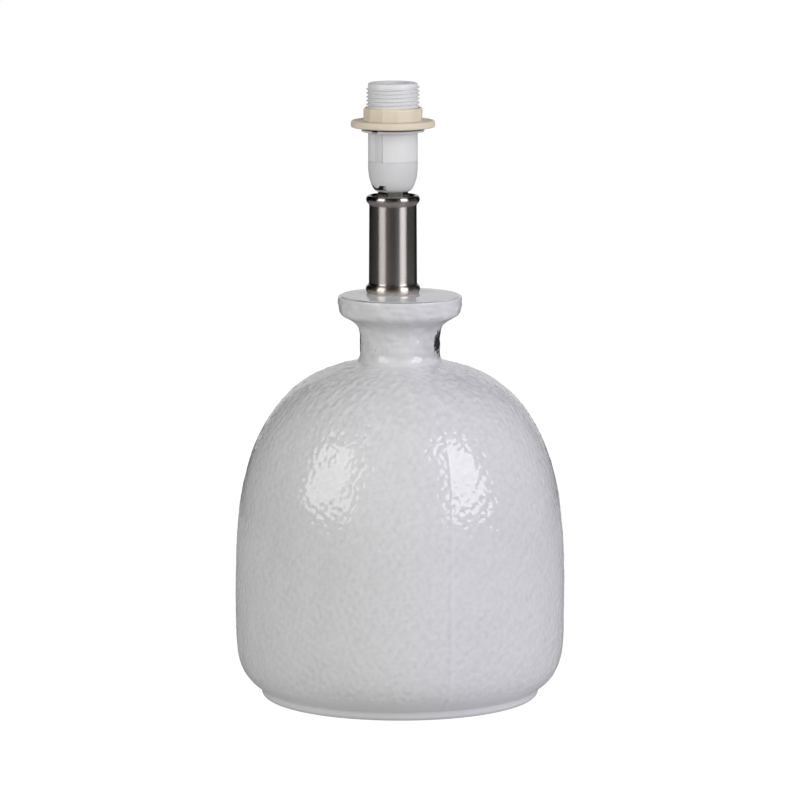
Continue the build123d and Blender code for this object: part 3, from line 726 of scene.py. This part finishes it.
shell_out = chain(
    straight((4.95, 268.5), (7.6, 268.5), 4),
    clamped_spline([(7.6, 268.5), (8.75, 268.75), (9.55, 269.3), (10.8, 271.1), (11.7, 273.2), (12.38, 275.6),
                    (12.82, 278.4), (13.05, 281.8)], (1, 0), (0, 1), 70),
    straight((13.05, 281.8), (13.05, 284.32), 3),
    straight((13.05, 284.32), (12.93, 284.5), 2),
    straight((12.93, 284.5), (13.03, 284.66), 2),
    straight((13.03, 284.66), (13.05, 300.0), 8),
    np.array([(13.05, 300.0), (13.8, 300.06), (13.8, 300.28), (13.15, 300.6)]),
)
shell_in = chain(
    straight((13.15, 300.6), (11.55, 300.6), 2),
    straight((11.55, 300.6), (11.55, 281.0), 8),
    clamped_spline([(11.55, 281.0), (10.9, 276.0), (9.6, 272.9), (7.9, 270.9)], (0, -1), (-0.9, -0.43), 24),
    np.array([(7.9, 270.9), (7.2, 270.9), (7.2, 275.4), (4.95, 275.4), (4.95, 268.5)]),
)
shell_prof = chain(shell_out, shell_in)[:-1]
shell_rows = [0] * (len(shell_out) - 1) + [1] * (len(shell_prof) - len(shell_out) + 1)
# the dome's inner rows take the near-black painted shade
holder = lathe_mesh("holder_dome_moulded", shell_prof, 288, [dome_plastic, inside_painted_shade], STEM_X, row_mats=shell_rows)
outward(holder)
LATCH, HALF, HOOK = (234.5, 54.5), 9.5, 4.6
cutters = []
for a in LATCH:
    span = np.linspace(a + HALF, a + 180.0 - HALF - 0.95, 60)
    cutters.append(prism(span, 9.0, 17.0, lambda t: 284.5, lambda t: 303.0, [dome_plastic, inside_painted_shade], 0))
    for side_sign in (-1, 1):
        span = np.linspace(a + side_sign * HOOK, a + side_sign * (HALF + 1.0), 6)
        cutters.append(prism(span, 9.0, 17.0, lambda t: 299.8, lambda t: 303.0, [dome_plastic, inside_painted_shade], 0))


def window_top(t):
    off = 11.0 * math.sin(math.radians(t - 218.0))
    return min(272.3, 273.75 - math.sqrt(9.0 - off * off)) if abs(off) < 2.999 else 272.3


# the window's cut faces take the near-black painted shade
cutters.append(prism(np.linspace(195.0, 250.0, 111), 8.5, 15.0, lambda t: 269.75, window_top,
                     [dome_plastic, inside_painted_shade], 1))
cut_away(holder, cutters)
sharpen(holder)
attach(holder, "root")
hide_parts("holder_dome")

# ------------------------------------------------------------------ threaded skirt
# the CAD skirt with the rebate under the ring's seat and its latch slots open at the top; the rebate's faces carry dark
# brown painted shade and the slots' faces near-black painted shade
skirt = bpy.data.objects.new("holder_skirt_moulded", frame["nodes"]["holder_skirt"].data.copy())
scene.collection.objects.link(skirt)
bm = bmesh.new()
bm.from_mesh(skirt.data)
bmesh.ops.remove_doubles(bm, verts=bm.verts, dist=1e-7)
bm.to_mesh(skirt.data)
bm.free()
skirt_mats = [white_plastic, groove_painted_shade, inside_painted_shade]
for m in skirt_mats[1:]:
    skirt.data.materials.append(m)
seat = lathe_mesh("cutter", [(14.5, 301.12), (18.0, 301.12), (18.0, 302.75), (14.5, 302.75)], 144, skirt_mats, STEM_X,
                  row_mats=[1, 1, 1, 1])
outward(seat)
slots = [prism(np.linspace(a - 6.6, a + 6.6, 9), 12.6, 17.5, lambda t: 300.62, lambda t: 302.75, skirt_mats, 2) for a in LATCH]
cut_away(skirt, [seat] + slots)
sharpen(skirt)
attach(skirt, "root")
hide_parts("holder_skirt")

# ------------------------------------------------------------------ shade ring
def arc_pts(cx, cz, r, a0, a1, n):
    t = np.radians(np.linspace(a0, a1, n))
    return np.stack([cx + r * np.cos(t), cz + r * np.sin(t)], 1)


flange_prof = chain(
    straight((14.12, 302.6), (16.15, 302.6), 3),
    straight((16.15, 302.6), (16.75, 302.30), 3),
    straight((16.75, 302.30), (21.2, 302.30), 8),
    arc_pts(21.2, 303.2, 0.9, -90, 0, 10),
    straight((22.1, 303.2), (22.08, 304.8), 3),
    arc_pts(20.98, 304.8, 1.1, 0, 82, 12),
    straight((21.13, 305.89), (17.1, 305.50), 6),
    arc_pts(17.1, 305.67, 0.17, -90, -180, 5),
    arc_pts(16.83, 305.57, 0.10, 0, 90, 4),
    straight((16.83, 305.67), (14.3, 305.67), 5),
    arc_pts(14.3, 305.49, 0.18, 90, 180, 4),
    straight((14.12, 305.49), (14.12, 302.6), 4),
)[:-1]
ring = lathe_mesh("shade_ring_flange_moulded", flange_prof, 300, [cream_plastic], STEM_X)
outward(ring)
sharpen(ring)
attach(ring, "ring_flange")
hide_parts("shade_ring_flange")

# the twelve-sided grip: softened corners outside, a 2 mm pitch thread inside
G0, G1, GCOLS = 305.72, 312.7, 480
gt = np.arange(GCOLS) * 2 * math.pi / GCOLS
side_r = 15.75 * math.cos(math.radians(15)) / np.cos((gt - math.radians(280.0)) % math.radians(30) - math.radians(15))
kern = np.hanning(9)
kern /= kern.sum()
side_r = np.convolve(np.concatenate([side_r[-4:], side_r, side_r[:4]]), kern, "valid")
grip_rows = []
for z, inset in [(G0, 0.30), (G0 + 0.08, 0.10), (G0 + 0.25, 0.02), (G0 + 0.6, 0.0)] + [(z, 0.0) for z in np.linspace(G0 + 1.2, 311.7, 8)] + \
        [(311.95, 0.03), (312.15, 0.13), (312.35, 0.30), (312.52, 0.50), (312.64, 0.74), (312.7, 1.00)]:
    grip_rows.append((side_r - inset, np.full(GCOLS, z)))
grip_rows.append((np.full(GCOLS, 14.42), np.full(GCOLS, 312.7)))
grip_rows.append((np.full(GCOLS, 14.15), np.full(GCOLS, 312.45)))
z_first = 2.27 + 2.0 * math.ceil((G0 + 0.75 - 2.27) / 2.0)
turned = gt / (2 * math.pi) * 2.0
for z in np.linspace(312.35, G0 + 0.10, 76):
    line_no = (z - z_first - turned) / 2.0
    d = np.abs((line_no - np.round(line_no)) * 2.0)
    nearest = z_first + turned + 2.0 * np.round(line_no)
    tall = np.clip((0.50 - d) / 0.33, 0, 1) * 0.82
    tall *= ramp01(nearest, z_first, z_first + 0.4) * (1 - ramp01(nearest, 311.45, 311.80))
    grip_rows.append((14.15 - tall, np.full(GCOLS, z)))
grip_rows.append((np.full(GCOLS, 14.15), np.full(GCOLS, G0)))
gr = np.array([g[0] for g in grip_rows])
gz = np.array([g[1] for g in grip_rows])
gv = np.stack([STEM_X + gr * np.cos(gt), gr * np.sin(gt), gz], -1).reshape(-1, 3) * MM
I, J = np.meshgrid(np.arange(len(gr)), np.arange(GCOLS), indexing="ij")
I2, J2 = (I + 1) % len(gr), (J + 1) % GCOLS
gq = np.stack([I * GCOLS + J, I * GCOLS + J2, I2 * GCOLS + J2, I2 * GCOLS + J], -1).reshape(-1, 4)
grip = fast_mesh("shade_ring_grip", gv, gq, [cream_plastic])
outward(grip)
sharpen(grip, 38.0)
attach(grip, "ring_nut")
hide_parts("shade_ring_nut")

# ------------------------------------------------------------------ floor, backdrop, light
def stage_material(name, diffuse, glow, colour=(1.0, 1.0, 1.0)):
    k = Mat(name)
    n = k.noise(k.coords(), 3.0, 2.0, 0.5)
    k.link(k.ramp(n, [(0.3, tuple(c * 0.99 for c in diffuse)), (0.7, diffuse)]), k.b.inputs["Base Color"])
    k.set(Roughness=0.9, Specular_IOR_Level=0.0, Emission_Strength=glow)
    k.b.inputs["Emission Color"].default_value = (*colour, 1)
    return k.m


def stage_object(ob, name, mat):
    ob.name = name
    ob.data.materials.append(mat)
    return ob


bpy.ops.mesh.primitive_circle_add(vertices=96, radius=14.0, fill_type="NGON", location=(0, 0, -0.0002))
floor = stage_object(bpy.context.object, "floor", stage_material("floor_white", (0.10, 0.10, 0.10), 0.985))
floor.visible_diffuse = False
floor.visible_glossy = False

bpy.ops.mesh.primitive_circle_add(vertices=96, radius=0.85, fill_type="NGON", location=(0, 0, -0.0004))
table = stage_object(bpy.context.object, "table_bounce", stage_material("table_grey", (0.62, 0.62, 0.62), 0.08))
table.visible_camera = False
table.visible_diffuse = False

bpy.ops.mesh.primitive_circle_add(vertices=96, radius=3.0, fill_type="NGON", location=(0, 0, -0.0006))
far_table = stage_object(bpy.context.object, "far_table_bounce", stage_material("far_table_grey", (0.62, 0.62, 0.62), 0.30))
far_table.visible_camera = False
far_table.visible_glossy = False

bpy.ops.mesh.primitive_uv_sphere_add(segments=96, ring_count=48, radius=13.9, location=(0, 0, 0))
dome = stage_object(bpy.context.object, "backdrop", stage_material("backdrop_white", (0.0, 0.0, 0.0), 1.0))
dome.visible_diffuse = False
dome.visible_glossy = False
dome.visible_shadow = False

# the room: soft light from above the camera and from the right, for matt reflection only
world = bpy.data.worlds.new("studio")
scene.world = world
world.use_nodes = True
wt = world.node_tree
wt.nodes.clear()
w_out = wt.nodes.new("ShaderNodeOutputWorld")
bg = wt.nodes.new("ShaderNodeBackground")
wt.links.new(bg.outputs[0], w_out.inputs["Surface"])
w_dir = wt.nodes.new("ShaderNodeTexCoord").outputs["Generated"]


def lobe(az_deg, el_deg, power, weight):
    a, e = math.radians(az_deg), math.radians(el_deg)
    d = wt.nodes.new("ShaderNodeVectorMath")
    d.operation = "DOT_PRODUCT"
    wt.links.new(w_dir, d.inputs[0])
    d.inputs[1].default_value = (math.sin(a) * math.cos(e), -math.cos(a) * math.cos(e), math.sin(e))
    out = d.outputs["Value"]
    for op, val in (("MAXIMUM", 0.0), ("POWER", power), ("MULTIPLY", weight)):
        m = wt.nodes.new("ShaderNodeMath")
        m.operation = op
        wt.links.new(out, m.inputs[0])
        m.inputs[1].default_value = val
        out = m.outputs[0]
    return out


total = None
for args in ((0, 23, 3.0, 0.755), (90, 15, 2.0, 0.70), (-90, 15, 2.0, 0.225)):
    o = lobe(*args)
    if total is None:
        total = o
    else:
        m = wt.nodes.new("ShaderNodeMath")
        wt.links.new(total, m.inputs[0])
        wt.links.new(o, m.inputs[1])
        total = m.outputs[0]
wt.links.new(total, bg.inputs["Strength"])
# slightly cooler from the right than from the left
side = wt.nodes.new("ShaderNodeVectorMath")
side.operation = "DOT_PRODUCT"
wt.links.new(w_dir, side.inputs[0])
side.inputs[1].default_value = (0.5, 0.0, 0.0)
shift = wt.nodes.new("ShaderNodeMath")
shift.inputs[1].default_value = 0.5
wt.links.new(side.outputs["Value"], shift.inputs[0])
tone = wt.nodes.new("ShaderNodeValToRGB")
tone.color_ramp.elements[0].color = (1.0, 1.0, 0.985, 1.0)
tone.color_ramp.elements[1].color = (0.965, 0.948, 1.0, 1.0)
wt.links.new(shift.outputs[0], tone.inputs["Fac"])
wt.links.new(tone.outputs["Color"], bg.inputs["Color"])
world.cycles_visibility.glossy = False
world.cycles_visibility.camera = False


def room_card(name, az_deg, dist, z, width, height, glow, colour=(1.0, 1.0, 1.0)):
    """An upright card that only shows in reflections."""
    a = math.radians(az_deg)
    bpy.ops.mesh.primitive_plane_add(size=1.0)
    ob = stage_object(bpy.context.object, name, stage_material(name + "_white", (0.0, 0.0, 0.0), glow, colour))
    ob.scale = (width, height, 1.0)
    ob.location = (dist * math.sin(a), -dist * math.cos(a), z)
    ob.rotation_euler = (math.radians(90), 0.0, a)
    ob.visible_camera = False
    ob.visible_diffuse = False
    ob.visible_shadow = False
    return ob


room_card("back_card", 180, 2.6, 0.75, 2.0, 1.5, 0.72)
room_card("right_card", 105, 2.2, 0.6, 1.6, 1.4, 0.08)
room_card("front_card", 0, 3.2, 0.9, 3.0, 2.4, 0.025)
room_card("warm_card", -26, 2.9, 0.9, 1.10, 2.2, 0.135, (1.0, 0.82, 0.76))
room_card("silver_card", 26, 2.9, 0.9, 1.10, 2.2, 0.150, (0.92, 1.0, 0.98))
ceiling = room_card("ceiling_card", 0, 0.0, 1.8, 1.5, 0.5, 0.28)
ceiling.location = (0.0, 0.12, 1.8)
ceiling.rotation_euler = (0.0, 0.0, 0.0)


def softbox(name, az_deg, dist, z, width, height, radiance, colour, tilt=0.0):
    """An upright panel facing the lamp. az 0 is the camera's side, + towards +X."""
    a = math.radians(az_deg)
    data = bpy.data.lights.new(name, "AREA")
    data.shape = "RECTANGLE"
    data.size = width
    data.size_y = height
    data.energy = radiance * 4.0 * width * height
    data.color = colour
    ob = bpy.data.objects.new(name, data)
    scene.collection.objects.link(ob)
    ob.location = (dist * math.sin(a), -dist * math.cos(a), z)
    ob.rotation_euler = (math.radians(90 + tilt), 0.0, a)
    return ob


softbox("softbox_left", -54.0, 1.3, 0.83, 0.77, 1.04, 2.75, (1.0, 0.998, 0.992))
softbox("softbox_right", 51.0, 1.3, 0.895, 0.72, 1.17, 3.6, (0.972, 0.985, 1.015))
